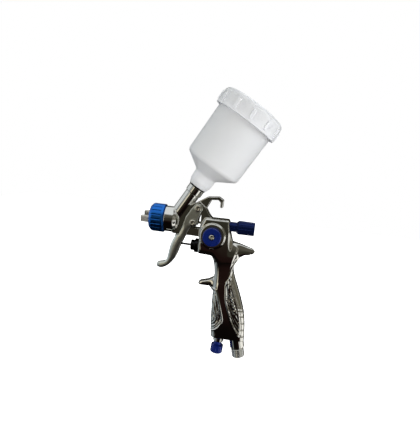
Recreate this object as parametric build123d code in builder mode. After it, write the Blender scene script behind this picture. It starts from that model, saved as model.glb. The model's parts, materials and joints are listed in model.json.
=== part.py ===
"""Gravity-feed mini spray gun, built as an assembly of its separate pieces.

Frame: the origin is the centre of the air inlet's end face, +Z is up and the gun sprays
towards -X. The side with the fan control faces -Y. Lengths are in millimetres.

Positions along the gun are given as (x, z) from the point where the spray axis passes
above the fan control: x grows towards the rear and z grows upwards.
"""

import os
from math import cos, radians, sin

from build123d import *

os.makedirs("parts", exist_ok=True)

# Where the axes run
SPRAY_X = -41.3  # fan control, ahead of the air inlet's end
SPRAY_Z = 133.4  # spray axis, above the air inlet's end
CUP_FOOT_X = -40.4  # the cup axis meets the spray axis here
CUP_LEAN = 30  # degrees back from upright
VALVE_Z = -23.4  # air valve axis
INLET_LEAN = 13  # degrees, the inlet's end points down and to the rear
REGULATOR_FOOT = (18.6, -120.0)
REGULATOR_LEAN = 4  # degrees, its knob points down and to the front
FAN_CENTRE = (1.2, -10.4)
PIVOT = (-16.2, 14.6)
YOKE_X = -20.0

# Running clearance on a radius, and the gap between pieces fixed together
RUN = 0.06
SEAT = 0.04

# Body
HEAD_R = 12.8
SPIGOT_R = 11.6  # threaded nose under the retaining ring
HEAD_FRONT = -60.0
RING_REAR = -49.25
WEB_HALF = 6.3  # half thickness between the trigger's ears
HOUSING_HALF = 9.5
HOOK_HALF = 3.8
TANG_HALF = 7.5
REST_HALF = 5.5
TUBE_R = 7.5
TUBE_TOP = 33.0  # along the cup axis
FAN_BOSS_R = 12.5
FAN_BOSS_FACE = 12.7

# Fluid side
NEEDLE_R = 1.2
NOZZLE_TIP = -66.2
ORIFICE_R = 0.55
SHOULDER_X = -16.6

# Air side
STEM_R = 1.1
STEM_TIP = -37.9
INLET_R = 13.157 / 2  # G 1/4 major radius
INLET_LENGTH = 9.8

# Controls
RING_R = 14.2
FAN_KNOB_R = 9.0
FLUID_KNOB_R = 6.9
FLUID_NECK_R = 4.85
REGULATOR_KNOB_R = 6.3
REGULATOR_NECK_R = 4.15

# Trigger
EAR_IN = 7.0
EAR_OUT = 8.6
PIVOT_R = 2.4
YOKE_R = 3.2

# Cup and lid, along the cup axis
CUP_R = 29.0
CUP_TOP_R = 29.5
CUP_WALL = 1.6
SHOULDER_S = 66.3
RIM_S = 131.4
LID_R = 33.3
LID_BOTTOM = 117.7
LID_TOP = 135.5
LID_WALL = 1.9


def at(x, z, y=0):
    """A point of the gun in the part's frame."""
    return Vector(SPRAY_X + x, y, SPRAY_Z + z)


def axis_plane(origin, along, square=(0, -1, 0)):
    """Plane for turned work: local x runs along the axis and local y is the radius."""
    return Plane(origin=origin, x_dir=along, z_dir=square)


def across(plane, distance):
    """Plane square to a turned axis, at a distance along it."""
    return Plane(origin=plane.origin + plane.x_dir * distance, x_dir=plane.z_dir, z_dir=plane.x_dir)


SIDE = axis_plane(at(0, 0), (1, 0, 0))
VALVE = axis_plane(at(0, VALVE_Z), (1, 0, 0))
CUP = axis_plane(at(CUP_FOOT_X, 0), (sin(radians(CUP_LEAN)), 0, cos(radians(CUP_LEAN))))
INLET = axis_plane((0, 0, 0), (-sin(radians(INLET_LEAN)), 0, cos(radians(INLET_LEAN))))
REGULATOR = axis_plane(
    at(*REGULATOR_FOOT), (-sin(radians(REGULATOR_LEAN)), 0, -cos(radians(REGULATOR_LEAN)))
)
FAN = axis_plane(at(*FAN_CENTRE), (0, -1, 0), (1, 0, 0))
PIVOT_AXIS = axis_plane(at(*PIVOT), (0, -1, 0), (1, 0, 0))
YOKE = axis_plane(at(YOKE_X, 0), (0, -1, 0), (1, 0, 0))


def turn(plane, profile, radii=None, mode=Mode.ADD):
    """Revolve (distance along, radius) points; radii rounds the listed corners."""
    with BuildSketch(plane) as outline:
        with BuildLine():
            Polyline(*profile, close=True)
        make_face()
        for index, radius in (radii or {}).items():
            corner = Vector(*profile[index])
            fillet(outline.vertices().sort_by_distance(corner)[0], radius)
    revolve(outline.sketch, axis=Axis(plane.origin, plane.x_dir), mode=mode)


def ring(plane, start, end, inner, outer, mode=Mode.ADD):
    """Add or cut a plain ring or, with no inner radius, a cylinder."""
    turn(plane, [(start, inner), (start, outer), (end, outer), (end, inner)], mode=mode)


def slab(outline, half, corner=0.0, edge=0.0):
    """Extrude a side outline both ways, round its corners, then its long edges."""
    with BuildSketch(SIDE) as face:
        with BuildLine():
            Polyline(*outline, close=True)
        make_face()
        if corner:
            fillet(face.vertices(), corner)
    extrude(face.sketch, amount=half, both=True)
    if edge:
        near_face = faces().sort_by(Axis.Y)[0]
        far_face = faces().sort_by(Axis.Y)[-1]
        fillet(near_face.edges() + far_face.edges(), edge)


def drill(start, end, radius):
    """Cut a round passage between two points of the gun's middle plane."""
    first = at(*start)
    run = at(*end) - first
    ring(axis_plane(first, run), 0, run.length, 0, radius, mode=Mode.SUBTRACT)


def flutes(plane, start, end, pitch_radius, flute_radius, count):
    """Cut round flutes along a turned knob."""
    with BuildSketch(across(plane, start)) as marks:
        with PolarLocations(pitch_radius, count):
            Circle(flute_radius)
    extrude(marks.sketch, amount=end - start, mode=Mode.SUBTRACT)


def coil(plane, start, end, radius, wire, turns):
    """Add a helical spring along a turned axis."""
    origin = plane.origin + plane.x_dir * (start + wire)
    height = end - start - 2 * wire
    with BuildLine() as path:
        Helix(height / turns, height, radius, center=origin, direction=plane.x_dir)
    with BuildSketch(Plane(origin=path.line @ 0, z_dir=path.line % 0)) as section:
        Circle(wire)
    sweep(section.sketch, path=path.line)


# ---------------------------------------------------------------- gun body
HOUSING = [
    (-12.2, -29.9), (-12.2, -3.0), (-8.0, 6.3), (16.0, 6.7), (17.6, -3.5), (21.5, -15.0),
    (28.0, -20.0), (24.0, -36.0), (12.0, -38.0), (6.0, -36.0), (2.0, -30.6),
]
WEB = [
    (-40.0, -13.0), (-5.0, -13.4), (0.0, 5.0), (-5.0, 9.6), (-9.0, 16.0),
    (-15.0, 21.0), (-19.5, 19.3), (-27.0, 16.0), (-40.0, 2.0),
]
WINDOW = [(-27.5, -5.3), (-12.5, -5.3), (-12.5, 9.3), (-24.0, 9.3), (-27.5, 5.0)]
HOOK = [
    (-20.0, 12.0), (-19.5, 19.6), (-8.0, 27.0), (3.0, 28.2), (7.8, 25.4), (7.6, 17.4),
    (4.8, 17.4), (4.6, 23.0), (2.4, 24.8), (-4.0, 24.2), (-9.4, 13.0),
]
TANG = [
    (10.0, -14.0), (21.5, -14.6), (30.0, -16.2), (42.0, -19.4), (44.8, -22.0), (42.6, -24.6),
    (34.4, -26.2), (29.6, -29.4), (26.4, -35.6), (25.2, -42.0), (14.0, -42.0),
]
FINGER_REST = [
    (14.0, -48.0), (7.2, -49.0), (6.2, -53.4), (1.4, -56.4), (-6.6, -58.8), (-9.7, -61.0),
    (-6.4, -62.5), (3.0, -62.2), (7.4, -67.0), (14.0, -68.0),
]
# Grip sections: height, front, rear and half thickness
GRIP = [
    (-26.0, -0.5, 29.4, 9.5), (-33.0, 3.4, 27.2, 9.3), (-41.0, 5.8, 25.3, 8.9),
    (-50.0, 7.0, 27.6, 8.7), (-60.0, 7.2, 31.8, 8.9), (-72.0, 7.4, 36.6, 9.3),
    (-86.0, 7.9, 41.3, 9.7), (-100.0, 9.0, 43.8, 9.8), (-114.2, 10.8, 44.9, 9.6),
]
GRIP_STEPS = 3  # sections from one listed height to the next


def grip_sections():
    """Listed sections with smooth ones between them (Catmull-Rom)."""
    rows = [GRIP[0], *GRIP, GRIP[-1]]
    sections = []
    for before, start, end, after in zip(rows, rows[1:], rows[2:], rows[3:]):
        for step in range(GRIP_STEPS):
            t = step / GRIP_STEPS
            sections.append([
                b + 0.5 * t * (c - a + t * (2 * a - 5 * b + 4 * c - d + t * (3 * (b - c) + d - a)))
                for a, b, c, d in zip(before, start, end, after)
            ])
    return sections + [GRIP[-1]]


with BuildPart() as housing_block:
    slab(HOUSING, HOUSING_HALF, corner=2.6, edge=2.4)

with BuildPart() as web_block:
    slab(WEB, WEB_HALF, corner=1.2)

with BuildPart() as hook_block:
    slab(HOOK, HOOK_HALF, corner=1.1, edge=0.9)

with BuildPart() as tang_block:
    slab(TANG, TANG_HALF, corner=1.2, edge=1.1)

with BuildPart() as rest_block:
    slab(FINGER_REST, REST_HALF, corner=1.2, edge=1.1)

with BuildPart() as grip_block:
    for height, front, rear, half in grip_sections():
        with BuildSketch(Plane(origin=at((front + rear) / 2, height), z_dir=(0, 0, 1))):
            RectangleRounded(rear - front, 2 * half, 0.6 * half)
    loft(ruled=True)

with BuildPart() as gun_body:
    add(housing_block.part)
    add(web_block.part)
    add(hook_block.part)
    add(tang_block.part)
    add(rest_block.part)
    add(grip_block.part)
    # Head: threaded nose, barrel and the neck behind it
    turn(SIDE, [
        (HEAD_FRONT, 0), (HEAD_FRONT, SPIGOT_R), (-49.0, SPIGOT_R), (-49.0, HEAD_R),
        (-40.0, HEAD_R), (-36.5, 10.4), (-34.5, 6.8), (-34.5, 0),
    ], radii={1: 0.5, 3: 0.4, 4: 2.5})
    # Cup inlet tube
    ring(CUP, 0, TUBE_TOP, 0, TUBE_R)
    # Fan control boss
    turn(FAN, [
        (0, 0), (0, FAN_BOSS_R), (FAN_BOSS_FACE, FAN_BOSS_R), (FAN_BOSS_FACE, 0),
    ], radii={2: 1.4})
    # Air inlet boss
    turn(INLET, [(10.0, 0), (10.0, 7.4), (30.0, 7.4), (30.0, 0)], radii={1: 0.6})
    # Window that the trigger's yoke works in
    with BuildSketch(SIDE) as window:
        with BuildLine():
            Polyline(*WINDOW, close=True)
        make_face()
        fillet(window.vertices(), 1.0)
    extrude(window.sketch, amount=HOUSING_HALF + 1, both=True, mode=Mode.SUBTRACT)
    # Air chamber in the nose, left standing round the nozzle's seat
    ring(SIDE, HEAD_FRONT, -52.0, 0, 9.4, mode=Mode.SUBTRACT)
    ring(SIDE, -52.0, -50.5, 7.6, 9.4, mode=Mode.SUBTRACT)
    # Nozzle thread, paint passage and needle packing
    ring(SIDE, -52.0, -44.6, 0, 5.45, mode=Mode.SUBTRACT)
    ring(SIDE, -45.0, -33.0, 0, 2.2, mode=Mode.SUBTRACT)
    ring(SIDE, -33.5, -27.0, 0, 3.4, mode=Mode.SUBTRACT)
    # Needle guide, spring chamber and fluid knob thread
    ring(SIDE, -13.0, -6.0, 0, 3.4, mode=Mode.SUBTRACT)
    ring(SIDE, -6.2, 7.0, 0, 4.2, mode=Mode.SUBTRACT)
    ring(SIDE, 6.5, 19.0, 0, FLUID_NECK_R + RUN, mode=Mode.SUBTRACT)
    # Paint way down from the cup and socket for the coupling
    ring(CUP, 0, 24.5, 0, 3.2, mode=Mode.SUBTRACT)
    ring(CUP, 24.0, TUBE_TOP + 1, 0, 6.2 + SEAT, mode=Mode.SUBTRACT)
    # Air valve bore
    ring(VALVE, -14.0, -1.0, 0, 5.15 + SEAT, mode=Mode.SUBTRACT)
    ring(VALVE, -1.2, 15.0, 0, 4.2, mode=Mode.SUBTRACT)
    # Fan control bore
    ring(FAN, -5.0, FAN_BOSS_FACE + 1, 0, 4.6, mode=Mode.SUBTRACT)
    # Trigger pivot
    ring(PIVOT_AXIS, -10.0, 10.0, 0, PIVOT_R + SEAT, mode=Mode.SUBTRACT)
    # Air inlet and regulator sockets
    ring(INLET, 9.0, 21.0, 0, 5.6 + SEAT, mode=Mode.SUBTRACT)
    ring(INLET, 20.8, 27.0, 0, 3.6, mode=Mode.SUBTRACT)
    ring(REGULATOR, -17.0, 1.0, 0, 4.4 + SEAT, mode=Mode.SUBTRACT)
    ring(REGULATOR, -27.0, -16.8, 0, 3.0, mode=Mode.SUBTRACT)
    # Air passages: inlet to regulator, regulator to valve, valve to fan control, on to the nose
    drill((35.6, -109.0), (20.0, -99.0), 1.8)
    drill((20.2, -96.0), (8.0, -25.0), 2.2)
    drill((0.6, -20.5), (0.6, -13.0), 1.5)
    drill((-51.0, -8.6), (-1.0, -8.6), 1.6)
gun_body.part.label = "gun_body"
export_step(gun_body.part, "parts/gun_body.step")

# ---------------------------------------------------------------- fluid side, fixed
with BuildPart() as inlet_coupling:
    turn(CUP, [
        (24.2, 4.9), (24.2, 6.2), (TUBE_TOP + SEAT, 6.2), (TUBE_TOP + SEAT, 8.4),
        (39.9, 8.4), (39.9, 4.9),
    ], radii={3: 0.6, 4: 0.4})
inlet_coupling.part.label = "inlet_coupling"
export_step(inlet_coupling.part, "parts/inlet_coupling.step")

with BuildPart() as cup_seal:
    ring(CUP, 24.3, 26.95, 3.4, 4.86)
cup_seal.part.label = "cup_seal"
export_step(cup_seal.part, "parts/cup_seal.step")

with BuildPart() as fluid_nozzle:
    turn(SIDE, [
        (-45.2, 1.75), (-45.2, 5.4), (-52.4, 5.4), (-52.4, 7.0), (-55.4, 7.0), (-56.2, 5.4),
        (-61.0, 3.2), (-64.6, 1.7), (NOZZLE_TIP, 1.35), (NOZZLE_TIP, ORIFICE_R),
        (-65.6, ORIFICE_R), (-61.2, 1.75),
    ])
    with BuildSketch(across(SIDE, -55.4)) as spanner_flats:
        Circle(9.0)
        RegularPolygon(6.1, 6, major_radius=False, mode=Mode.SUBTRACT)
    extrude(spanner_flats.sketch, amount=3.0, mode=Mode.SUBTRACT)
fluid_nozzle.part.label = "fluid_nozzle"
export_step(fluid_nozzle.part, "parts/fluid_nozzle.step")

with BuildPart() as nozzle_gasket:
    ring(SIDE, -52.36, -52.03, 5.5, 7.0)
nozzle_gasket.part.label = "nozzle_gasket"
export_step(nozzle_gasket.part, "parts/nozzle_gasket.step")

with BuildPart() as air_distributor:
    ring(SIDE, -54.6, -53.2, 7.2, 9.36)
    flutes(SIDE, -54.7, -53.1, 8.3, 0.5, 10)
air_distributor.part.label = "air_distributor"
export_step(air_distributor.part, "parts/air_distributor.step")

with BuildPart() as needle_packing:
    ring(SIDE, -33.45, -31.0, NEEDLE_R + RUN, 3.36)
needle_packing.part.label = "needle_packing"
export_step(needle_packing.part, "parts/needle_packing.step")

with BuildPart() as packing_nut:
    ring(SIDE, -30.9, -27.4, NEEDLE_R + 0.3, 3.36)
    with BuildSketch(across(SIDE, -27.4)) as hexagon:
        RegularPolygon(3.7, 6, major_radius=False)
        Circle(NEEDLE_R + 0.3, mode=Mode.SUBTRACT)
    extrude(hexagon.sketch, amount=2.0)
packing_nut.part.label = "packing_nut"
export_step(packing_nut.part, "parts/packing_nut.step")

with BuildPart() as needle_guide:
    ring(SIDE, -12.4, -6.3, NEEDLE_R + RUN, 3.36)
needle_guide.part.label = "needle_guide"
export_step(needle_guide.part, "parts/needle_guide.step")

with BuildPart() as needle_spring:
    coil(SIDE, -0.4, 30.2, 2.75, 0.45, 12)
needle_spring.part.label = "needle_spring"
export_step(needle_spring.part, "parts/needle_spring.step")

# ---------------------------------------------------------------- air side, fixed
with BuildPart() as air_valve_housing:
    turn(VALVE, [
        (-20.3, 1.5), (-20.3, 5.4), (-16.3, 5.4), (-16.3, 7.1), (-12.25, 7.1), (-12.25, 5.15),
        (-4.0, 5.15), (-4.0, 3.8), (-14.2, 3.8), (-14.2, 2.6), (-17.4, 2.6), (-17.4, 1.5),
    ], radii={1: 0.7, 3: 0.5})
air_valve_housing.part.label = "air_valve_housing"
export_step(air_valve_housing.part, "parts/air_valve_housing.step")

with BuildPart() as air_valve_packing:
    ring(VALVE, -17.3, -14.8, STEM_R + RUN, 2.56)
air_valve_packing.part.label = "air_valve_packing"
export_step(air_valve_packing.part, "parts/air_valve_packing.step")

with BuildPart() as air_valve_seat:
    ring(VALVE, -3.9, -2.4, 2.3, 5.15)
air_valve_seat.part.label = "air_valve_seat"
export_step(air_valve_seat.part, "parts/air_valve_seat.step")

with BuildPart() as air_valve_spring:
    coil(VALVE, 0.6, 14.9, 2.6, 0.4, 6)
air_valve_spring.part.label = "air_valve_spring"
export_step(air_valve_spring.part, "parts/air_valve_spring.step")

with BuildPart() as fan_bush:
    turn(FAN, [
        (5.0, 3.3), (5.0, 4.56), (FAN_BOSS_FACE + SEAT, 4.56), (FAN_BOSS_FACE + SEAT, 6.0),
        (13.5, 6.0), (13.5, 2.06), (7.2, 2.06), (7.2, 3.3),
    ])
fan_bush.part.label = "fan_bush"
export_step(fan_bush.part, "parts/fan_bush.step")

with BuildPart() as fan_seal:
    ring(FAN, 5.3, 7.1, 2.06, 3.26)
fan_seal.part.label = "fan_seal"
export_step(fan_seal.part, "parts/fan_seal.step")

with BuildPart() as regulator_bush:
    turn(REGULATOR, [
        (-16.0, 3.0), (-16.0, 4.4), (-5.2, 4.4), (-5.2, 5.3), (0.0, 5.3),
        (0.0, REGULATOR_NECK_R + RUN), (-5.5, REGULATOR_NECK_R + RUN), (-5.5, 1.66),
        (-10.0, 1.66), (-10.0, 3.0),
    ], radii={4: 0.4})
regulator_bush.part.label = "regulator_bush"
export_step(regulator_bush.part, "parts/regulator_bush.step")

with BuildPart() as regulator_seal:
    ring(REGULATOR, -12.6, -10.1, 1.66, 2.96)
regulator_seal.part.label = "regulator_seal"
export_step(regulator_seal.part, "parts/regulator_seal.step")

with BuildPart() as air_inlet_fitting:
    turn(INLET, [
        (0, 3.7), (0, INLET_R), (INLET_LENGTH, INLET_R),
        (INLET_LENGTH, 5.6), (20.6, 5.6), (20.6, 3.7),
    ])
air_inlet_fitting.part.label = "air_inlet_fitting"
export_step(air_inlet_fitting.part, "parts/air_inlet_fitting.step")

# ---------------------------------------------------------------- trigger
with BuildPart() as trigger_pivot_stud:
    ring(PIVOT_AXIS, -8.9, 8.9, 0, PIVOT_R)
    turn(PIVOT_AXIS, [(-10.4, 0), (-10.4, 3.6), (-8.9, 3.6), (-8.9, 0)], radii={1: 0.6})
trigger_pivot_stud.part.label = "trigger_pivot_stud"
export_step(trigger_pivot_stud.part, "parts/trigger_pivot_stud.step")

with BuildPart() as pivot_screw:
    turn(PIVOT_AXIS, [(8.94, 0), (8.94, 3.4), (10.5, 3.4), (10.5, 0)], radii={2: 0.6})
    with BuildSketch(across(PIVOT_AXIS, 10.6)) as pivot_slot:
        Rectangle(8, 0.8)
    extrude(pivot_slot.sketch, amount=-0.8, mode=Mode.SUBTRACT)
pivot_screw.part.label = "pivot_screw"
export_step(pivot_screw.part, "parts/pivot_screw.step")

# Blade stations down the trigger: front edge, rear edge and half width
BLADE = [
    ((-36.6, -13.7), (-26.3, -13.7), 8.6), ((-38.4, -19.1), (-28.6, -19.1), 8.5),
    ((-40.3, -24.6), (-31.0, -25.6), 8.0), ((-41.7, -32.1), (-33.2, -33.0), 7.2),
    ((-42.6, -37.6), (-35.6, -39.6), 6.5), ((-44.2, -41.9), (-39.7, -45.4), 6.0),
    ((-49.0, -44.4), (-46.2, -49.8), 5.4), ((-53.5, -47.0), (-52.4, -49.6), 4.6),
]
CHANNEL = [
    ((-33.8, -10.0), (-21.0, -10.0), EAR_IN), ((-34.9, -13.7), (-22.5, -13.7), EAR_IN),
    ((-36.7, -19.3), (-25.0, -19.1), 6.9), ((-38.6, -24.8), (-27.5, -25.8), 6.4),
    ((-40.0, -31.8), (-29.8, -33.2), 5.6), ((-40.7, -36.6), (-32.2, -39.4), 4.9),
]
EAR = [
    (-12.4, 13.4), (-14.4, 18.4), (-18.6, 18.4), (-22.6, 13.6), (-27.3, 4.8), (-30.9, -8.3),
    (-33.4, -14.4), (-33.6, -16.8), (-27.8, -16.8), (-24.8, -10.6), (-22.4, -5.2),
    (-15.8, -2.6), (-15.2, 3.6),
]


def blade_solid(stations, nose, tail, mode=Mode.ADD):
    """Loft D-shaped sections, rounded by nose in front and by tail behind."""
    sections = []
    for front, rear, half in stations:
        reach = at(*front) - at(*rear)
        middle = at((front[0] + rear[0]) / 2, (front[1] + rear[1]) / 2)
        plane = Plane(origin=middle, x_dir=reach, z_dir=(-reach.Z, 0, reach.X))
        with BuildSketch(plane) as section:
            Rectangle(reach.length, 2 * half)
            corners = section.vertices().group_by(Axis.X)
            fillet(corners[-1], min(nose, 0.45 * reach.length))
            fillet(section.vertices().group_by(Axis.X)[0], tail)
        sections.append(section.sketch.face())
    loft(sections, mode=mode)


with BuildPart() as trigger:
    blade_solid(BLADE, 3.4, 0.6)
    blade_solid(CHANNEL, 1.8, 0.4, mode=Mode.SUBTRACT)
    for side in (-1, 1):
        with BuildSketch(SIDE.offset(side * (EAR_IN + EAR_OUT) / 2)) as ear:
            with BuildLine():
                Polyline(*EAR, close=True)
            make_face()
            fillet(ear.vertices(), 0.9)
            with Locations((YOKE_X, 0)):
                Circle(4.6)
            with Locations(PIVOT):
                Circle(4.5)
        extrude(ear.sketch, amount=(EAR_OUT - EAR_IN) / 2, both=True)
    ring(PIVOT_AXIS, -10, 10, 0, PIVOT_R + RUN, mode=Mode.SUBTRACT)
    ring(YOKE, -10, 10, 0, 2.0 + SEAT, mode=Mode.SUBTRACT)
trigger.part.label = "trigger"
export_step(trigger.part, "parts/trigger.step")

with BuildPart() as needle_yoke_pin:
    ring(YOKE, -6.2, 6.2, 0, YOKE_R)
    ring(YOKE, -EAR_OUT, EAR_OUT, 0, 2.0)
    ring(SIDE, YOKE_X - 5, YOKE_X + 5, 0, 2.4, mode=Mode.SUBTRACT)
needle_yoke_pin.part.label = "needle_yoke_pin"
export_step(needle_yoke_pin.part, "parts/needle_yoke_pin.step")

with BuildPart() as yoke_screw:
    turn(YOKE, [(8.64, 0), (8.64, 3.2), (10.2, 3.2), (10.2, 0)], radii={2: 1.0})
    with BuildSketch(across(YOKE, 10.3)) as yoke_slot:
        RegularPolygon(1.2, 6)
    extrude(yoke_slot.sketch, amount=-1.0, mode=Mode.SUBTRACT)
yoke_screw.part.label = "yoke_screw"
export_step(yoke_screw.part, "parts/yoke_screw.step")

# ---------------------------------------------------------------- needle and air valve
with BuildPart() as needle:
    turn(SIDE, [
        (-66.9, 0), (-66.9, 0.12), (-65.6, 0.5), (-61.4, NEEDLE_R), (SHOULDER_X, NEEDLE_R),
        (SHOULDER_X, 2.9), (SHOULDER_X + 0.9, 2.9), (SHOULDER_X + 0.9, NEEDLE_R),
        (25.0, NEEDLE_R), (25.0, 0),
    ])
needle.part.label = "needle"
export_step(needle.part, "parts/needle.step")

with BuildPart() as needle_collar:
    ring(SIDE, -3.0, -0.5, NEEDLE_R + SEAT, 3.85)
needle_collar.part.label = "needle_collar"
export_step(needle_collar.part, "parts/needle_collar.step")

with BuildPart() as air_valve_stem:
    turn(VALVE, [(STEM_TIP, 0), (STEM_TIP, STEM_R), (0.3, STEM_R), (0.3, 0)], radii={1: 0.8})
air_valve_stem.part.label = "air_valve_stem"
export_step(air_valve_stem.part, "parts/air_valve_stem.step")

with BuildPart() as air_valve_poppet:
    turn(VALVE, [
        (-1.6, STEM_R + SEAT), (-1.6, 3.4), (-0.2, 3.4), (-0.2, 2.1), (0.5, 2.1),
        (0.5, STEM_R + SEAT),
    ])
air_valve_poppet.part.label = "air_valve_poppet"
export_step(air_valve_poppet.part, "parts/air_valve_poppet.step")

with BuildPart() as poppet_seal:
    ring(VALVE, -2.35, -1.64, STEM_R + SEAT, 3.4)
poppet_seal.part.label = "poppet_seal"
export_step(poppet_seal.part, "parts/poppet_seal.step")

# ---------------------------------------------------------------- controls
with BuildPart() as needle_spring_seat:
    ring(SIDE, 30.3, 32.1, 0, 3.54)
needle_spring_seat.part.label = "needle_spring_seat"
export_step(needle_spring_seat.part, "parts/needle_spring_seat.step")

with BuildPart() as fluid_knob:
    turn(SIDE, [
        (9.0, 3.6), (9.0, FLUID_NECK_R), (23.0, FLUID_NECK_R), (25.4, FLUID_KNOB_R),
        (40.6, FLUID_KNOB_R - 0.2), (41.2, FLUID_KNOB_R - 0.8), (41.2, 0), (32.2, 0), (32.2, 3.6),
    ])
    flutes(SIDE, 25.8, 42.0, FLUID_KNOB_R + 0.5, 0.95, 14)
fluid_knob.part.label = "fluid_knob"
export_step(fluid_knob.part, "parts/fluid_knob.step")

with BuildPart() as fan_spindle:
    turn(FAN, [
        (-3.6, 0), (-3.6, 0.6), (-2.2, 3.0), (1.8, 3.0), (1.8, 2.0), (17.0, 2.0), (17.0, 1.06),
        (13.0, 1.06), (13.0, 0),
    ])
fan_spindle.part.label = "fan_spindle"
export_step(fan_spindle.part, "parts/fan_spindle.step")

with BuildPart() as fan_knob:
    turn(FAN, [
        (13.9, 2.06), (13.9, FAN_KNOB_R), (18.6, FAN_KNOB_R), (18.6, 3.1), (17.3, 3.1),
        (17.3, 2.06),
    ], radii={1: 0.5, 2: 1.1, 3: 0.3})
fan_knob.part.label = "fan_knob"
export_step(fan_knob.part, "parts/fan_knob.step")

with BuildPart() as fan_knob_screw:
    turn(FAN, [
        (14.0, 0), (14.0, 1.0), (17.34, 1.0), (17.34, 2.7), (19.0, 2.7), (19.0, 0),
    ], radii={4: 0.4})
    with BuildSketch(across(FAN, 19.1)) as socket:
        RegularPolygon(1.3, 6)
    extrude(socket.sketch, amount=-1.3, mode=Mode.SUBTRACT)
fan_knob_screw.part.label = "fan_knob_screw"
export_step(fan_knob_screw.part, "parts/fan_knob_screw.step")

with BuildPart() as regulator_stem:
    turn(REGULATOR, [
        (-24.0, 0), (-24.0, 0.8), (-21.5, 2.3), (-18.5, 2.3), (-18.5, 1.6), (10.0, 1.6), (10.0, 0),
    ])
regulator_stem.part.label = "regulator_stem"
export_step(regulator_stem.part, "parts/regulator_stem.step")

with BuildPart() as regulator_knob:
    turn(REGULATOR, [
        (-3.0, 1.66), (-3.0, REGULATOR_NECK_R), (3.4, REGULATOR_NECK_R),
        (4.4, REGULATOR_KNOB_R), (11.8, REGULATOR_KNOB_R), (12.5, 5.4), (12.5, 0), (10.1, 0),
        (10.1, 1.66),
    ])
    flutes(REGULATOR, 5.2, 13.0, REGULATOR_KNOB_R + 0.5, 0.95, 12)
regulator_knob.part.label = "regulator_knob"
export_step(regulator_knob.part, "parts/regulator_knob.step")

# ---------------------------------------------------------------- air cap and ring
HORN_TILT = 15  # degrees, the near horn sits lower

with BuildPart() as air_cap:
    turn(SIDE, [
        (-60.1, 8.6), (-60.1, 11.3), (-62.0, 11.3), (-62.0, 8.6), (-64.4, 8.4), (-65.4, 5.2),
        (-65.4, 1.75), (-64.9, 1.75), (-63.6, 4.2), (-62.0, 6.6),
    ])
    with BuildSketch(across(SIDE, -63.6)) as horns:
        with PolarLocations(6.7, 2, start_angle=HORN_TILT):
            RectangleRounded(3.6, 6.6, 0.9)
    extrude(horns.sketch, amount=-9.1)
    chamfer(air_cap.edges().group_by(Axis.X)[0], 0.6)
    jet_line = (0, -cos(radians(HORN_TILT)), -sin(radians(HORN_TILT)))
    for jet_x in (-71.0, -69.2):
        with BuildSketch(Plane(origin=at(jet_x, 0), z_dir=jet_line)) as jet:
            Circle(0.45)
        extrude(jet.sketch, amount=6.6, both=True, mode=Mode.SUBTRACT)
    flutes(SIDE, -66.0, -63.0, 3.0, 0.35, 6)
air_cap.part.label = "air_cap"
export_step(air_cap.part, "parts/air_cap.step")

with BuildPart() as retaining_ring:
    turn(SIDE, [
        (RING_REAR, SPIGOT_R + RUN), (RING_REAR, RING_R), (-60.8, RING_R), (-61.8, 13.7),
        (-64.0, 11.4), (-64.0, 9.0), (-62.1, 9.0), (-62.1, SPIGOT_R + RUN),
    ], radii={1: 0.5, 2: 1.2, 4: 0.6})
    flutes(SIDE, -62.5, -51.6, RING_R + 0.5, 1.05, 20)
retaining_ring.part.label = "retaining_ring"
export_step(retaining_ring.part, "parts/retaining_ring.step")

# ---------------------------------------------------------------- cup
with BuildPart() as cup_collar:
    turn(CUP, [
        (27.0, 3.4), (27.0, 4.84), (40.0, 4.84), (40.0, 8.9), (41.2, 8.9), (41.2, 7.9),
        (50.0, 7.9), (50.0, 3.4),
    ], radii={3: 0.3})
cup_collar.part.label = "cup_collar"
export_step(cup_collar.part, "parts/cup_collar.step")

with BuildPart() as cup_strainer:
    turn(CUP, [
        (30.0, 0), (30.0, 3.33), (50.04, 3.33), (50.04, 6.8), (50.8, 6.8), (50.8, 2.7),
        (30.8, 2.7), (30.8, 0),
    ])
    flutes(CUP, 29.0, 32.0, 1.6, 0.5, 5)
cup_strainer.part.label = "cup_strainer"
export_step(cup_strainer.part, "parts/cup_strainer.step")

with BuildPart() as cup:
    turn(CUP, [
        (41.25, 7.94), (41.25, 9.4), (46.0, 11.1), (55.0, 11.5), (SHOULDER_S, CUP_R),
        (117.0, CUP_TOP_R), (120.6, CUP_TOP_R), (121.4, 30.9), (122.6, 30.9),
        (123.4, CUP_TOP_R), (RIM_S, CUP_TOP_R), (RIM_S, CUP_TOP_R - CUP_WALL),
        (67.4, CUP_R - CUP_WALL), (56.4, 9.9), (51.5, 7.94),
    ], radii={2: 1.5, 3: 3.0, 4: 5.0, 12: 3.4})
cup.part.label = "cup"
export_step(cup.part, "parts/cup.step")

with BuildPart() as lid_seal:
    ring(CUP, RIM_S + 0.04, 133.5, 26.6, 30.6)
lid_seal.part.label = "lid_seal"
export_step(lid_seal.part, "parts/lid_seal.step")

with BuildPart() as cup_lid:
    turn(CUP, [
        (LID_BOTTOM, LID_R - LID_WALL), (LID_BOTTOM, LID_R), (LID_TOP, LID_R - 0.4),
        (LID_TOP, 0.8), (LID_TOP - LID_WALL, 0.8), (LID_TOP - LID_WALL, LID_R - LID_WALL),
    ], radii={1: 0.6, 2: 5.2, 5: 1.2})
    with BuildSketch(across(CUP, 120.6)) as ribs:
        with PolarLocations(LID_R - 0.2, 12, start_angle=8):
            RectangleRounded(2.0, 3.2, 0.6)
    extrude(ribs.sketch, amount=9.0)
cup_lid.part.label = "cup_lid"
export_step(cup_lid.part, "parts/cup_lid.step")
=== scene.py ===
"""The look of the gravity-feed spray gun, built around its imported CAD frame.

Everything is in metres in the row frame. Outlines on the gun's side are given in millimetres as
(x, z) from the point where the spray axis passes above the fan control, as in the CAD source.
"""

import json
import math

import bpy
import numpy as np
from mathutils import Matrix, Vector


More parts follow.
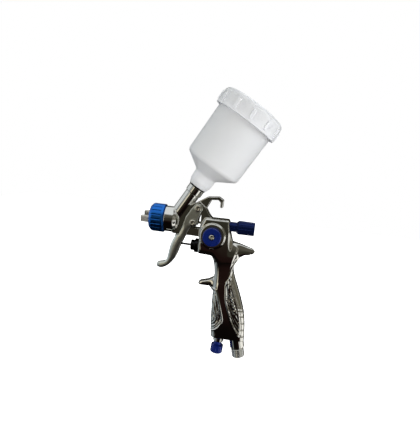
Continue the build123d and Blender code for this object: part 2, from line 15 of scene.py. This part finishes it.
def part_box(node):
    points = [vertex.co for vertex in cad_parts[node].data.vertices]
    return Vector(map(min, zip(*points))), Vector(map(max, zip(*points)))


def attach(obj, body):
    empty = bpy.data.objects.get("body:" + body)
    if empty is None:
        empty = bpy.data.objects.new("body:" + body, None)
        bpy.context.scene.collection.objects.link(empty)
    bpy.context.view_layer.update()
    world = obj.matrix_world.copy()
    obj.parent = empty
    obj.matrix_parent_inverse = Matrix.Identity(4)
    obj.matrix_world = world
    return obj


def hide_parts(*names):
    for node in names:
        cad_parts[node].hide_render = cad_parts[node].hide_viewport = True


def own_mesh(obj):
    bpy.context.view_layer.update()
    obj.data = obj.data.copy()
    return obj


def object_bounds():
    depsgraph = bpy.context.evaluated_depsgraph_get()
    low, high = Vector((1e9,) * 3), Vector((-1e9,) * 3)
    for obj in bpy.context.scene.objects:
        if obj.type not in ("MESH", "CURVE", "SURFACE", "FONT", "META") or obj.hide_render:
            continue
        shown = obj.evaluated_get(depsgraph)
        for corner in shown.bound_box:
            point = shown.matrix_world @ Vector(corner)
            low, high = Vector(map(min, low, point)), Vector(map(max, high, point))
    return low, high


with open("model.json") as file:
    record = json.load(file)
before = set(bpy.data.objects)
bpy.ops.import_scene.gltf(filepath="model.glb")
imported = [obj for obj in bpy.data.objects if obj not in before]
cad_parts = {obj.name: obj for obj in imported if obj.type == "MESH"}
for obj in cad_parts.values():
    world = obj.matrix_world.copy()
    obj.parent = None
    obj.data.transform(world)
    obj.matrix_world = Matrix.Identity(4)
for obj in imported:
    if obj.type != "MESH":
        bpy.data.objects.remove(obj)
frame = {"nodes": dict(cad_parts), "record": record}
cad_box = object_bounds()
nodes = frame["nodes"]
joints = {joint["name"]: joint for joint in frame["record"]["behaviour"]["joints"]}

MM = 0.001
AXIS_R = 0.0001 * MM  # a turned piece's faces end this near its axis
PIVOT = (-16.2, 14.6)  # trigger pivot, from the spray axis above the fan control
pivot_at = Vector(joints["trigger_pull"]["pos_m"])
GUN_X = pivot_at.x - PIVOT[0] * MM
GUN_Z = pivot_at.z - PIVOT[1] * MM


# ---------------------------------------------------------------- materials
def node_maker(tree):
    """A function that adds a node to a tree; each input is a value, or a socket to link from."""
    def add(kind, inputs=None, **settings):
        node = tree.nodes.new(kind)
        for key, value in settings.items():
            setattr(node, key, value)
        for key, value in (inputs or {}).items():
            if isinstance(value, bpy.types.NodeSocket):
                tree.links.new(value, node.inputs[key])
            else:
                node.inputs[key].default_value = value
        return node

    return add


def new_material(name):
    """A material with its node tree, its Principled shader and a maker of further nodes."""
    made = bpy.data.materials.new(name)
    made.use_nodes = True
    tree = made.node_tree
    return made, tree, tree.nodes["Principled BSDF"], node_maker(tree)


def noise(add, scale, detail=2.0, stretch=(1.0, 1.0, 1.0)):
    """Noise over the object's own coordinates; scale is in features per metre."""
    place = add("ShaderNodeTexCoord")
    mapping = add("ShaderNodeMapping", {"Vector": place.outputs["Object"], "Scale": stretch})
    return add("ShaderNodeTexNoise", {
        "Vector": mapping.outputs["Vector"], "Scale": scale, "Detail": detail,
    }).outputs["Fac"]


def spread(add, value, low, high):
    """Map noise to a range."""
    return add("ShaderNodeMapRange", {
        "Value": value, "From Min": 0.3, "From Max": 0.7, "To Min": low, "To Max": high,
    }).outputs["Result"]


def tint(add, value, dark, light):
    """Vary a colour with noise."""
    mix = add("ShaderNodeMix", {"Factor": value}, data_type="RGBA")
    mix.inputs[6].default_value = (*dark, 1.0)
    mix.inputs[7].default_value = (*light, 1.0)
    return mix.outputs[2]


def finish(name, dark, light, metallic, rough, wave_scale, wave_height, grain=900.0, coat=0.0):
    """Metal or plastic: mottled colour, uneven polish and a slightly uneven surface."""
    made, tree, shader, add = new_material(name)
    blotch = noise(add, 70.0, 3.0)
    fine = noise(add, grain, 2.0)
    tree.links.new(tint(add, blotch, dark, light), shader.inputs["Base Color"])
    tree.links.new(spread(add, blotch, rough[0], rough[1]), shader.inputs["Roughness"])
    shader.inputs["Metallic"].default_value = metallic
    if coat:
        shader.inputs["Coat Weight"].default_value = coat
        shader.inputs["Coat Roughness"].default_value = 0.08
    wave = noise(add, wave_scale, 1.0)
    both = add("ShaderNodeMath", {0: fine, 1: 0.01, 2: wave}, operation="MULTIPLY_ADD")
    bump = add("ShaderNodeBump", {"Height": both.outputs[0], "Distance": wave_height, "Strength": 1.0})
    tree.links.new(bump.outputs["Normal"], shader.inputs["Normal"])
    return made


def turned_metal(name, dark, light, rough, axis_stretch):
    """Bright turned metal with fine tool marks round it."""
    made, tree, shader, add = new_material(name)
    marks = noise(add, 260.0, 3.0, axis_stretch)
    tree.links.new(tint(add, marks, dark, light), shader.inputs["Base Color"])
    tree.links.new(spread(add, marks, rough[0], rough[1]), shader.inputs["Roughness"])
    shader.inputs["Metallic"].default_value = 1.0
    bump = add("ShaderNodeBump", {"Height": marks, "Distance": 0.00003, "Strength": 0.6})
    tree.links.new(bump.outputs["Normal"], shader.inputs["Normal"])
    return made


def milky_plastic(name):
    """Translucent polypropylene: soft light through the wall and a satin moulded skin."""
    made, tree, shader, add = new_material(name)
    cloud = noise(add, 35.0, 2.0)
    tree.links.new(tint(add, cloud, (0.79, 0.795, 0.835), (0.87, 0.875, 0.91)), shader.inputs["Base Color"])
    tree.links.new(spread(add, cloud, 0.34, 0.44), shader.inputs["Roughness"])
    shader.inputs["Subsurface Weight"].default_value = 0.55
    shader.inputs["Subsurface Radius"].default_value = (0.010, 0.010, 0.011)
    shader.inputs["Subsurface Scale"].default_value = 1.0
    shader.inputs["IOR"].default_value = 1.49
    skin_marks = noise(add, 1400.0, 2.0)
    bump = add("ShaderNodeBump", {"Height": skin_marks, "Distance": 0.00004, "Strength": 0.5})
    tree.links.new(bump.outputs["Normal"], shader.inputs["Normal"])
    return made


materials = {
    "body_chrome": finish(
        "chrome", (0.66, 0.64, 0.59), (0.82, 0.81, 0.78), 1.0, (0.04, 0.09), 38.0, 0.00018,
    ),
    "trigger_chrome": finish(
        "satin_chrome", (0.80, 0.82, 0.75), (0.92, 0.94, 0.88), 1.0, (0.30, 0.38), 60.0, 0.0001,
    ),
    # The steel's warm beige tint is partly the steel's own tone and partly painted reflection: it paints in
    # the warm light that the screw heads reflect.
    "steel": turned_metal(
        "turned_steel_warm_reflection_tint", (0.70, 0.66, 0.57), (0.86, 0.82, 0.73), (0.20, 0.30), (9.0, 0.4, 0.4),
    ),
    "dark_nickel": finish(
        "black_nickel", (0.012, 0.012, 0.013), (0.026, 0.026, 0.028), 1.0, (0.18, 0.30), 120.0, 0.0001,
    ),
    "brass": turned_metal(
        "turned_brass", (0.50, 0.36, 0.16), (0.68, 0.52, 0.27), (0.16, 0.30), (9.0, 0.4, 0.4),
    ),
    "ring_blue": finish(
        "blue_anodised", (0.020, 0.15, 0.56), (0.028, 0.20, 0.72), 1.0, (0.30, 0.40), 150.0, 0.0001,
    ),
    "knob_blue": finish(
        "royal_blue", (0.004, 0.016, 0.15), (0.007, 0.026, 0.24), 0.6, (0.16, 0.26), 120.0, 0.0001, coat=0.4,
    ),
    "knob_navy": finish(
        "navy_anodised", (0.005, 0.013, 0.07), (0.008, 0.020, 0.11), 0.8, (0.24, 0.34), 150.0, 0.0001,
    ),
    "cup_plastic": milky_plastic("milky_polypropylene"),
    "stem_steel": finish(
        "oiled_steel", (0.030, 0.030, 0.030), (0.060, 0.060, 0.058), 0.6, (0.42, 0.55), 200.0, 0.00005,
    ),
    "cap_nickel": finish(
        "satin_nickel", (0.60, 0.57, 0.50), (0.76, 0.73, 0.66), 0.72, (0.30, 0.42), 120.0, 0.00006,
    ),
    "seal": finish(
        "black_rubber", (0.012, 0.012, 0.012), (0.03, 0.03, 0.03), 0.0, (0.5, 0.7), 300.0, 0.0001,
    ),
    "ptfe": finish(
        "packing_plastic", (0.80, 0.80, 0.77), (0.90, 0.90, 0.87), 0.0, (0.35, 0.5), 200.0, 0.0001,
    ),
}


OWN_FINISH = {"air_valve_stem": "stem_steel", "air_cap": "cap_nickel"}


def dress(piece, slot_name):
    """Give a piece the material of a record slot."""
    piece.data.materials.clear()
    piece.data.materials.append(materials[slot_name])


for part in frame["record"]["subparts"]:
    node = nodes[part["node"]]
    for place in node.material_slots:
        place.material = materials[OWN_FINISH.get(part["node"], part["material_slot"])]


# ---------------------------------------------------------------- mesh helpers
def link(name, mesh):
    """Put a new object in the scene, smooth shaded."""
    piece = bpy.data.objects.new(name, mesh)
    bpy.context.scene.collection.objects.link(piece)
    mesh.polygons.foreach_set("use_smooth", [True] * len(mesh.polygons))
    return piece


def even_copy(node, name, voxel):
    """A copy of a CAD node as an even mesh of small quads."""
    piece = link(name, nodes[node].data.copy())
    remesh = piece.modifiers.new("even", "REMESH")
    remesh.mode = "VOXEL"
    remesh.voxel_size = voxel
    graph = bpy.context.evaluated_depsgraph_get()
    even = bpy.data.meshes.new_from_object(piece.evaluated_get(graph))
    bpy.data.objects.remove(piece)
    return link(name, even)


def lathe(name, profile, origin, along, side, wobble=None, around=64):
    """A turned piece: (distance along the axis, radius) points spun round it; wobble scales each radius."""
    along, side = Vector(along).normalized(), Vector(side).normalized()
    front = side.cross(along)
    verts = []
    for turn in range(around):
        angle = 2 * math.pi * turn / around
        ray = side * math.cos(angle) + front * math.sin(angle)
        for row, (s, r) in enumerate(profile):
            scale = wobble(row, angle) if wobble else 1.0
            verts.append(tuple(Vector(origin) + along * s + ray * (r * scale)))
    rows = len(profile)
    faces = []
    for turn in range(around):
        here, there = turn * rows, ((turn + 1) % around) * rows
        for k in range(rows - 1):
            faces.append((here + k, here + k + 1, there + k + 1, there + k))
    for end in (0, rows - 1):
        ring = [turn * rows + end for turn in range(around)]
        faces.append(tuple(ring if end == 0 else reversed(ring)))
    mesh = bpy.data.meshes.new(name)
    mesh.from_pydata(verts, [], faces)
    mesh.validate()
    mesh.update()
    return link(name, mesh)


def socket_screw(name, node, slot_name, body_name, proud, shank, hexagon):
    """A domed screw head with a hexagon socket, facing -Y, and its shank, in a CAD screw's place."""
    low_corner, high_corner = (Vector(corner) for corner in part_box(node))
    radius = (high_corner.x - low_corner.x) / 2
    length = high_corner.y - low_corner.y
    origin = Vector(((low_corner.x + high_corner.x) / 2, low_corner.y, (low_corner.z + high_corner.z) / 2))
    profile = [
        (0.92 * proud, AXIS_R), (0.66 * proud, 0.94 * hexagon), (0.10 * proud, hexagon),
        (0.0, 1.12 * hexagon),
    ]
    rise = 10
    for step in range(rise + 1):
        angle = step / rise * math.pi / 2
        profile.append((
            (1 - math.cos(angle)) * 0.62 * proud,
            1.2 * hexagon + (radius - 1.2 * hexagon) * math.sin(angle),
        ))
    profile += [
        (0.92 * proud, radius), (proud, 0.97 * radius), (proud, shank), (length, shank), (length, AXIS_R),
    ]

    def six_sided(row, angle):
        if row not in (1, 2):
            return 1.0
        part = (angle + math.pi / 6) % (math.pi / 3) - math.pi / 6
        return 0.92 / math.cos(part)

    piece = lathe(name, profile, origin, (0, 1, 0), (1, 0, 0), six_sided, 72)
    edges = piece.modifiers.new("edges", "EDGE_SPLIT")
    edges.split_angle = math.radians(38)
    dress(piece, slot_name)
    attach(piece, body_name)
    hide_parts(node)


def read_points(mesh):
    points = np.empty(len(mesh.vertices) * 3)
    mesh.vertices.foreach_get("co", points)
    return points.reshape(-1, 3)


def write_points(mesh, points):
    mesh.vertices.foreach_set("co", points.ravel())
    mesh.update()


def neighbour_mean(mesh):
    """A function that gives, for a value at each vertex, the mean of that value over its neighbours."""
    ends = np.empty(len(mesh.edges) * 2, dtype=int)
    mesh.edges.foreach_get("vertices", ends)
    first, second = ends.reshape(-1, 2).T
    count = len(mesh.vertices)
    degree = np.bincount(ends, minlength=count)

    def mean(column):
        total = np.bincount(first, column[second], count) + np.bincount(second, column[first], count)
        return total / degree

    return mean


def soften(mesh, rounds):
    """Round off edges and corners without shrinking the whole."""
    points = read_points(mesh)
    mean = neighbour_mean(mesh)
    for _ in range(rounds):
        for step in (0.50, -0.51):
            for axis in range(3):
                column = points[:, axis].copy()
                points[:, axis] = column + step * (mean(column) - column)
    write_points(mesh, points)


def crown(mesh, rounds, weight):
    """Round the side faces over towards their edges, leaving the outline seen from the side as it is."""
    points = read_points(mesh)
    mean = neighbour_mean(mesh)
    amount = weight((points[:, 0] - GUN_X) / MM, (points[:, 2] - GUN_Z) / MM)
    column = points[:, 1].copy()
    for _ in range(rounds):
        column += amount * (mean(column) - column)
    points[:, 1] = column
    write_points(mesh, points)


def smooth_line(points, steps=12):
    """A smooth run of points through the given ones (Catmull-Rom)."""
    rows = np.array([points[0], *points, points[-1]], dtype=float)
    line = []
    for a, b, c, d in zip(rows, rows[1:], rows[2:], rows[3:]):
        for step in range(steps):
            t = step / steps
            line.append(b + 0.5 * t * (c - a + t * (2 * a - 5 * b + 4 * c - d + t * (3 * (b - c) + d - a))))
    line.append(rows[-1])
    return np.array(line)


def across_at(line, z):
    """x of a side outline at each height."""
    order = np.argsort(line[:, 1])
    return np.interp(z, line[order, 1], line[order, 0])


def distance_to(line, x, z):
    """Distance from each point to a side outline."""
    nearest = np.full(len(x), 1e9)
    for (x0, z0), (x1, z1) in zip(line, line[1:]):
        dx, dz = x1 - x0, z1 - z0
        length = dx * dx + dz * dz
        if length < 1e-12:
            continue
        t = np.clip(((x - x0) * dx + (z - z0) * dz) / length, 0, 1)
        nearest = np.minimum(nearest, np.hypot(x - x0 - t * dx, z - z0 - t * dz))
    return nearest


def step_up(value, low, high):
    """Smooth step from 0 at low to 1 at high."""
    t = np.clip((value - low) / (high - low), 0, 1)
    return t * t * (3 - 2 * t)


# ---------------------------------------------------------------- gun body
# Carved panels on the grip: a front one that wraps the front edge, and one ahead of the back strap
FRONT_PANEL = smooth_line([
    (6.0, -63.6), (10.6, -65.0), (14.6, -74.7), (17.9, -85.0), (20.3, -93.7), (18.8, -99.8),
    (14.4, -105.0), (9.0, -107.4),
])
REAR_PANEL = smooth_line([
    (23.4, -50.4), (20.8, -56.0), (20.6, -63.0), (22.4, -75.3), (26.9, -88.1), (31.9, -99.2),
    (38.6, -108.6),
])
STRAP_LINE = smooth_line([
    (23.4, -50.4), (26.0, -60.0), (29.6, -69.0), (34.4, -80.0), (37.3, -91.0), (38.9, -101.0),
    (38.6, -108.6),
])
STRAP_GROOVES = [-81.5, -87.2, -94.4, -101.4, -108.0]
TANG_LINE = smooth_line([
    (23.4, -50.4), (23.2, -45.0), (24.6, -38.5), (28.0, -32.5), (33.0, -28.0), (39.5, -25.0),
])
RIDGE_WIDTH = 0.75
RIDGE_HEIGHT = 0.55
PANEL_DEPTH = 0.35
STRAND_HEIGHT = 0.60
FLUID_BORE_R = 5.05  # the fluid knob's neck slides in here
FLUID_BORE_FROM, FLUID_BORE_TO = 5.9, 17.0
BODY_GRID = 0.42 * MM
TRIGGER_GRID = 0.32 * MM


def strands(distance, along, pitch, lean, tuft):
    """Height of fine carved strands that run beside a border, lean away from it and swell in tufts."""
    phase = distance / pitch + along / lean
    swell = 0.62 + 0.38 * np.cos(2 * np.pi * (along / tuft + 0.35 * np.floor(phase)))
    return (0.5 + 0.5 * np.cos(2 * np.pi * phase)) * swell


def carve_grip(mesh):
    """Raise the panel borders, sink the panels and carve strands in them; cut the strap's grooves."""
    points = read_points(mesh)
    normals = np.empty(len(points) * 3)
    mesh.vertices.foreach_get("normal", normals)
    normals = normals.reshape(-1, 3)
    rows = np.where((points[:, 2] - GUN_Z < -22 * MM) & (points[:, 2] - GUN_Z > -112.5 * MM))[0]
    n = normals[rows]
    x = (points[rows, 0] - GUN_X) / MM
    y = np.abs(points[rows, 1]) / MM
    z = (points[rows, 2] - GUN_Z) / MM
    outside = n[:, 1] * np.sign(points[rows, 1]) > -0.1
    skin = np.where(outside, step_up(y, 2.5, 5.0), 0.0)
    height = np.zeros(len(rows))

    # Front panel, its strands parallel to the border and hooking round its foot
    edge = across_at(FRONT_PANEL, z)
    border = distance_to(FRONT_PANEL, x, z)
    inside = step_up(edge - x, 0.2, 1.2) * step_up(z, -107.0, -105.5) * (1 - step_up(z, -66.5, -64.5))
    height += inside * (STRAND_HEIGHT * strands(border, z, 2.5, 60.0, 13.0) - PANEL_DEPTH)
    height += RIDGE_HEIGHT * np.exp(-((border / RIDGE_WIDTH) ** 2))

    # Rear panel between its border and the strap's line
    near, far = across_at(REAR_PANEL, z), across_at(STRAP_LINE, z)
    border = distance_to(REAR_PANEL, x, z)
    gap = np.minimum(x - near, far - x)
    inside = step_up(gap, 0.2, 1.0) * step_up(z, -109.0, -107.0) * (1 - step_up(z, -54.0, -51.5))
    height += inside * (STRAND_HEIGHT * strands(border, z, 2.4, 16.0, 10.0) - PANEL_DEPTH)
    spine = np.exp(-(((far - x - 3.0) / 1.5) ** 2))
    spine *= (1 - step_up(z, -57.0, -53.0)) * step_up(z, -91.0, -84.0)
    height += spine * (0.75 + 0.20 * np.cos(2 * np.pi * z / 3.2) * (1 - step_up(z, -72.0, -66.0)))
    for line in (REAR_PANEL, STRAP_LINE, TANG_LINE):
        height += RIDGE_HEIGHT * np.exp(-((distance_to(line, x, z) / RIDGE_WIDTH) ** 2))
    height *= skin

    # Back strap, notched right round the back
    on_strap = step_up(x - far, 0.2, 1.0) * (z < -52) * outside
    for groove in STRAP_GROOVES:
        slant = z - groove + 0.25 * (x - far)
        height -= 0.42 * on_strap * np.exp(-((slant / 0.5) ** 2))

    points[rows] += n * height[:, None] * MM
    write_points(mesh, points)


def taper_tang(mesh):
    """Thin the tang towards its tip and its upper edge, so that its sides lean up and back."""
    points = read_points(mesh)
    x = (points[:, 0] - GUN_X) / MM
    z = (points[:, 2] - GUN_Z) / MM
    rise_up = np.clip((z + 29.0) / (29.0 - np.interp(x, [18.0, 45.0], [9.0, 18.5])), 0, 1)
    reach = np.clip((x - 17.5) / 27.0, 0, 1)
    onto = step_up(x, 16.5, 22.0) * step_up(z, -40.0, -27.0)
    points[:, 1] *= 1 - onto * (0.30 * reach + 0.48 * rise_up ** 1.4)
    write_points(mesh, points)


def grip_weight(x, z):
    """How far the sides round over: fully on the grip and tang, not on the housing and its fan boss."""
    grip = step_up(-z, 19.0, 27.0) * step_up(z, -113.0, -107.0)
    tang = step_up(x, 15.5, 19.0) * (1 - step_up(z, -8.0, -3.0)) * step_up(z, -60.0, -40.0)
    boss = step_up(np.hypot(x - 1.2, z + 10.4), 13.0, 15.5)
    return np.maximum(grip, tang) * boss


def open_bore(mesh, start, end, radius):
    """Keep a bore along the spray axis open to a radius between two places on the axis, all in mm."""
    points = read_points(mesh)
    x = (points[:, 0] - GUN_X) / MM
    out = np.hypot(points[:, 1], points[:, 2] - GUN_Z) / MM
    rows = (x > start) & (x < end) & (out < radius) & (out > 0.5 * radius)
    grow = radius / out[rows]
    points[rows, 1] *= grow
    points[rows, 2] = GUN_Z + (points[rows, 2] - GUN_Z) * grow
    write_points(mesh, points)


body = even_copy("gun_body", "body_casting", BODY_GRID)
soften(body.data, 5)
crown(body.data, 70, grip_weight)
taper_tang(body.data)
soften(body.data, 2)
carve_grip(body.data)
soften(body.data, 1)
open_bore(body.data, FLUID_BORE_FROM, FLUID_BORE_TO, FLUID_BORE_R)
dress(body, "body_chrome")
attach(body, "gun")
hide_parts("gun_body")

blade = even_copy("trigger", "trigger_casting", TRIGGER_GRID)
soften(blade.data, 6)
crown(blade.data, 160, lambda x, z: 1 - step_up(z, -9.0, -2.0))
dress(blade, "trigger_chrome")
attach(blade, "trigger")
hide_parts("trigger")


# ---------------------------------------------------------------- screw heads
socket_screw("pivot_screw_head", "pivot_screw", "steel", "gun", 1.5 * MM, 1.0 * MM, 1.55 * MM)
socket_screw("yoke_screw_head", "yoke_screw", "steel", "trigger", 1.5 * MM, 1.0 * MM, 1.55 * MM)
socket_screw("fan_screw_head", "fan_knob_screw", "steel", "fan_knob", 1.6 * MM, 1.0 * MM, 1.35 * MM)


# ---------------------------------------------------------------- springs
def coil_spring(name, node, wire, turns):
    """A spring of round wire in a CAD spring's place."""
    low_corner, high_corner = (Vector(corner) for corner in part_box(node))
    centre = (low_corner + high_corner) / 2
    radius = (high_corner.z - low_corner.z) / 2 - wire
    length = high_corner.x - low_corner.x
    climb = (length - 2 * wire) / (2 * math.pi * turns)
    steps, sides = 28 * turns, 10
    verts = []
    for step in range(steps + 1):
        angle = 2 * math.pi * turns * step / steps
        ray = Vector((0, math.cos(angle), math.sin(angle)))
        tangent = Vector((climb, -radius * math.sin(angle), radius * math.cos(angle))).normalized()
        aside = tangent.cross(ray)
        middle_of_wire = Vector((low_corner.x + wire + climb * angle, centre.y, centre.z)) + ray * radius
        for side in range(sides):
            turn = 2 * math.pi * side / sides
            verts.append(tuple(middle_of_wire + (ray * math.cos(turn) + aside * math.sin(turn)) * wire))
    faces = [tuple(reversed(range(sides))), tuple(steps * sides + side for side in range(sides))]
    for step in range(steps):
        here, there = step * sides, (step + 1) * sides
        for side in range(sides):
            after = (side + 1) % sides
            faces.append((here + side, here + after, there + after, there + side))
    mesh = bpy.data.meshes.new(name)
    mesh.from_pydata(verts, [], faces)
    mesh.update()
    piece = link(name, mesh)
    slot_name = next(part["material_slot"] for part in frame["record"]["subparts"] if part["node"] == node)
    dress(piece, slot_name)
    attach(piece, "gun")
    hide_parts(node)
    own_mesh(piece)


coil_spring("needle_spring_coil", "needle_spring", 0.45 * MM, 12)
coil_spring("air_valve_spring_coil", "air_valve_spring", 0.40 * MM, 6)


# ---------------------------------------------------------------- air inlet thread
def inlet_thread():
    """The inlet stub with its G 1/4 thread cut, a chamfered mouth and its bore."""
    mount = next(m for m in frame["record"]["mounts"] if m["name"] == "air_inlet")
    major = mount["dims"]["r_mm"] * MM
    length = mount["dims"]["length_mm"] * MM
    up = -Vector(mount["axis"]).normalized()
    side = Vector((0, 1, 0))
    front = side.cross(up)
    pitch, depth = 1.337 * MM, 0.75 * MM
    bore, spigot, top = 3.7 * MM, 5.6 * MM, 20.6 * MM
    around, per_pitch = 96, 10
    stations = int(length / pitch * per_pitch)
    verts = []
    for turn in range(around):
        angle = turn / around
        rays = front * math.cos(2 * math.pi * angle) + side * math.sin(2 * math.pi * angle)
        profile = [(0.0, bore), (0.0, major - depth - 0.25 * MM)]
        for station in range(1, stations):
            s = length * station / stations
            wave = abs(((s / pitch - angle) % 1.0) * 2 - 1)
            groove = depth * min(1.0, max(0.0, (wave - 0.12) / 0.76))
            runout = min(1.0, max(0.0, (length - s) / (1.2 * pitch)))
            mouth = max(0.0, 1.0 - s / (0.9 * MM)) * depth
            profile.append((s, major - max(groove * runout, mouth)))
        profile += [(length, major), (length, spigot), (top, spigot), (top, bore)]
        verts += [up * s + rays * r for s, r in profile]
    rows = len(profile)
    faces = []
    for turn in range(around):
        here, there = turn * rows, ((turn + 1) % around) * rows
        for k in range(rows):
            after = (k + 1) % rows
            faces.append((here + k, here + after, there + after, there + k))
    mesh = bpy.data.meshes.new("inlet_thread")
    mesh.from_pydata([tuple(v) for v in verts], [], faces)
    mesh.update()
    piece = link("inlet_thread", mesh)
    dress(piece, "body_chrome")
    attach(piece, "gun")
    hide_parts("air_inlet_fitting")


inlet_thread()


# ---------------------------------------------------------------- camera, light and floor
AZIMUTH, ELEVATION, ROLL = (math.radians(a) for a in (5.46, 8.29, 6.53))
CAMERA_AT = (-0.0072, -0.3940, 0.1914)
LENS = 32.2

# Radiance of the studio round the gun, from below the horizon upwards and then the panels
ROOM_LOW = (0.0035, 0.0025, 0.002)
ROOM_MIDDLE = (0.014, 0.0065, 0.0055)
ROOM_LEVEL = (0.034, 0.032, 0.023)
ROOM_HIGH = (0.10, 0.095, 0.075)
TOP_PANEL = (0.84, 0.88, 0.90)
WARM_PANEL = (0.95, 0.88, 0.70)
LEFT_LOW = (0.34, 0.39, 0.41)
LEFT_PANEL = (0.72, 0.77, 0.80)
RIGHT_LOW = (1.15, 1.15, 1.11)
RIGHT_HIGH = (0.15, 0.14, 0.105)

camera = bpy.data.objects.new("camera", bpy.data.cameras.new("camera"))
bpy.context.scene.collection.objects.link(camera)
camera.data.lens = LENS
camera.data.sensor_width = 36.0
camera.data.clip_start = 0.01
back = Vector((
    math.sin(AZIMUTH) * math.cos(ELEVATION), -math.cos(AZIMUTH) * math.cos(ELEVATION), math.sin(ELEVATION),
))
level = Vector((math.cos(AZIMUTH), math.sin(AZIMUTH), 0))
upright = back.cross(level)
right = level * math.cos(ROLL) + upright * math.sin(ROLL)
above = back.cross(right)
camera.matrix_world = Matrix.Translation(CAMERA_AT) @ Matrix((right, above, back)).transposed().to_4x4()
bpy.context.scene.camera = camera
bpy.context.scene.view_settings.view_transform = "Standard"


def softbox(name, place, aim, size, watts, colour=(1, 1, 1)):
    """A rectangular light at place, facing aim."""
    lamp = bpy.data.lights.new(name, "AREA")
    lamp.shape = "RECTANGLE"
    lamp.size, lamp.size_y = size
    lamp.energy = watts
    lamp.color = colour
    holder = bpy.data.objects.new(name, lamp)
    bpy.context.scene.collection.objects.link(holder)
    holder.location = place
    holder.rotation_euler = (Vector(place) - Vector(aim)).to_track_quat("Z", "Y").to_euler()
    holder.visible_glossy = False


low, high = (Vector(corner) for corner in cad_box)
middle = (low + high) / 2
aim = middle + Vector((0, 0, 0.05))
softbox("key", middle + Vector((0.55, -0.20, 0.22)), aim, (0.30, 0.50), 2.5, (0.93, 0.96, 1.0))
softbox("top", middle + Vector((0.05, 0.05, 0.55)), middle, (0.60, 0.40), 0.5)
softbox("fill", middle + Vector((-0.25, -0.60, 0.20)), middle, (0.50, 0.50), 1.5)
softbox("low", middle + Vector((0.10, -0.45, -0.30)), aim, (0.60, 0.40), 1.9)
softbox("back", middle + Vector((0.15, 0.60, 0.15)), aim, (0.50, 0.50), 2.2)

floor_mesh = bpy.data.meshes.new("floor")
drop = low.z - 4 * MM
floor_mesh.from_pydata(
    [(-0.9, -0.2, drop), (0.9, -0.2, drop), (0.9, 1.2, drop), (-0.9, 1.2, drop)], [], [(0, 1, 2, 3)]
)
floor = bpy.data.objects.new("floor", floor_mesh)
bpy.context.scene.collection.objects.link(floor)
pale = bpy.data.materials.new("pale_floor")
pale.use_nodes = True
pale_shader = pale.node_tree.nodes["Principled BSDF"]
pale_shader.inputs["Base Color"].default_value = (0.9, 0.9, 0.9, 1)
pale_shader.inputs["Roughness"].default_value = 0.9
pale_shader.inputs["Emission Color"].default_value = (1, 1, 1, 1)
pale_shader.inputs["Emission Strength"].default_value = 1.0
floor_mesh.materials.append(pale)
floor.visible_glossy = False
floor.visible_diffuse = False
floor.visible_shadow = False


def studio_world():
    """A dark room with bright panels round the gun, and white wherever the camera looks past it."""
    world = bpy.data.worlds.new("studio")
    bpy.context.scene.world = world
    world.use_nodes = True
    tree = world.node_tree
    tree.nodes.clear()
    add = node_maker(tree)
    split = add("ShaderNodeSeparateXYZ", {0: add("ShaderNodeTexCoord").outputs["Generated"]})

    def rise(axis, start, end):
        return add("ShaderNodeMapRange", {
            "Value": split.outputs[axis], "From Min": start, "From Max": end,
        }, interpolation_type="SMOOTHSTEP").outputs["Result"]

    def times(first, second):
        return add("ShaderNodeMath", {0: first, 1: second}, operation="MULTIPLY").outputs[0]

    def larger(first, second):
        return add("ShaderNodeMath", {0: first, 1: second}, operation="MAXIMUM").outputs[0]

    def over(under, colour, amount):
        mix = add("ShaderNodeMix", {"Factor": amount, 7: (*colour, 1.0)}, data_type="RGBA")
        if isinstance(under, tuple):
            mix.inputs[6].default_value = (*under, 1.0)
        else:
            tree.links.new(under, mix.inputs[6])
        return mix.outputs[2]

    room = over(ROOM_LOW, ROOM_MIDDLE, rise("Z", -0.42, -0.30))
    room = over(room, ROOM_LEVEL, rise("Z", -0.24, -0.14))
    room = over(room, ROOM_HIGH, rise("Z", 0.10, 0.45))
    warm = times(rise("X", -0.35, -0.41), rise("X", -0.58, -0.52))
    room = over(room, WARM_PANEL, times(times(warm, rise("Y", 0.0, -0.3)), rise("Z", -0.42, -0.22)))
    left = times(rise("X", -0.60, -0.72), larger(rise("X", -0.74, -0.72), rise("X", -0.80, -0.83)))
    room = over(room, LEFT_LOW, times(left, rise("Z", -0.75, -0.60)))
    room = over(room, LEFT_PANEL, times(left, rise("Z", -0.14, 0.0)))
    right = times(rise("X", 0.58, 0.68), larger(rise("X", 0.78, 0.76), rise("X", 0.82, 0.85)))
    right = times(right, add("ShaderNodeMapRange", {
        "Value": split.outputs["Y"], "From Min": 0.25, "From Max": 0.60, "To Min": 1.0, "To Max": 0.22,
    }, interpolation_type="SMOOTHSTEP").outputs["Result"])
    room = over(room, RIGHT_LOW, times(right, rise("Z", -0.78, -0.60)))
    room = over(room, RIGHT_HIGH, times(right, rise("Z", -0.12, 0.02)))
    room = over(room, TOP_PANEL, rise("Z", 0.60, 0.74))
    lit = add("ShaderNodeBackground", {"Color": room})
    plain = add("ShaderNodeBackground", {"Color": (1, 1, 1, 1), "Strength": 1.0})
    choice = add("ShaderNodeMixShader", {0: add("ShaderNodeLightPath").outputs["Is Camera Ray"]})
    tree.links.new(lit.outputs[0], choice.inputs[1])
    tree.links.new(plain.outputs[0], choice.inputs[2])
    out = add("ShaderNodeOutputWorld")
    tree.links.new(choice.outputs[0], out.inputs["Surface"])


studio_world()
